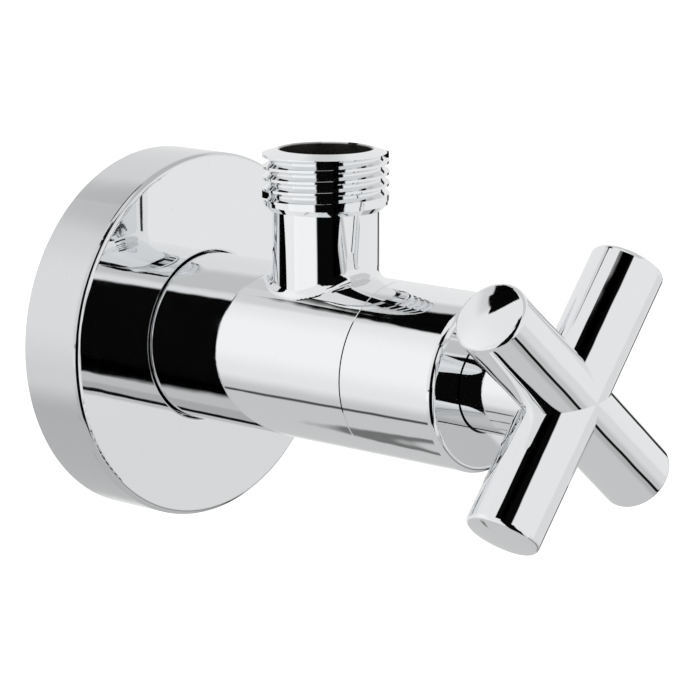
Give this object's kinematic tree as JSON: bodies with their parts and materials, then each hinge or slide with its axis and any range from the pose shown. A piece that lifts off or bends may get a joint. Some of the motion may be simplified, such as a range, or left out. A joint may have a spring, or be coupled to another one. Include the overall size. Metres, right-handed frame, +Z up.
{
  "type": "angle stop valve",
  "caption": "Chromed right-angle stop valve with a round wall rosette, an upright threaded outlet and a cross handle that turns a screw spindle and slides the inner plunger off its seat.",
  "frame": {"origin": "on the valve's axis, in the plane of the finished wall, which is the plane of the rosette's back rim", "axes": "+Z up along the outlet, -Y out of the wall along the valve's axis towards the handle, +Y into the wall along the inlet, +X to the right seen from the front"},
  "size_m": [0.0622, 0.1074, 0.0655],
  "materials": {
    "chrome_plate": "mirror-polished chrome plate on brass",
    "bare_brass": "turned, unpolished",
    "black_rubber": "moulded, satin",
    "white_plastic": "moulded, waxy",
    "grey_plastic": "moulded, satin",
    "red_fibre": "pressed vulcanised fibre, matt",
    "stainless_steel": "bright, turned and stamped"
  },
  "bodies": {
    "valve": {"valve_body": "chrome_plate", "inlet_seal_ring": "white_plastic", "headwork_housing": "bare_brass", "headwork_gasket": "red_fibre", "spindle_thrust_washer": "white_plastic", "bonnet_sleeve": "chrome_plate", "bonnet_sleeve_ring": "black_rubber", "hub_guide_ring": "grey_plastic"},
    "grip": {"rosette_grip_ring": "black_rubber"},
    "rosette": {"wall_rosette": "chrome_plate"},
    "handle": {"cross_handle": "chrome_plate", "handle_spline_bush": "grey_plastic", "handle_grub_screw": "stainless_steel", "spindle": "bare_brass", "spindle_ring_inner": "black_rubber", "spindle_ring_outer": "black_rubber", "spindle_circlip": "stainless_steel"},
    "plunger": {"plunger": "bare_brass", "seat_washer": "black_rubber", "washer_plate": "stainless_steel", "washer_screw": "stainless_steel"}
  },
  "joints": [
    {"name": "rosette_slide", "type": "slide", "parent": "valve", "child": "grip", "axis": [0, -1, 0], "range_m": [0, 0.015]},
    {"name": "rosette_turn", "type": "hinge", "parent": "grip", "child": "rosette", "pos_m": [0, -0.0061, 0], "axis": [0, -1, 0], "continuous": true},
    {"name": "handle_turn", "type": "hinge", "parent": "valve", "child": "handle", "pos_m": [0, -0.0732, 0], "axis": [0, -1, 0], "range_deg": [0, 900]},
    {"name": "plunger_slide", "type": "slide", "parent": "valve", "child": "plunger", "axis": [0, -1, 0], "range_m": [0, 0.0051]}
  ],
  "couplings": [
    {"joint": "plunger_slide", "follows": "handle_turn", "m_per_rad": 0.00031831}
  ]
}
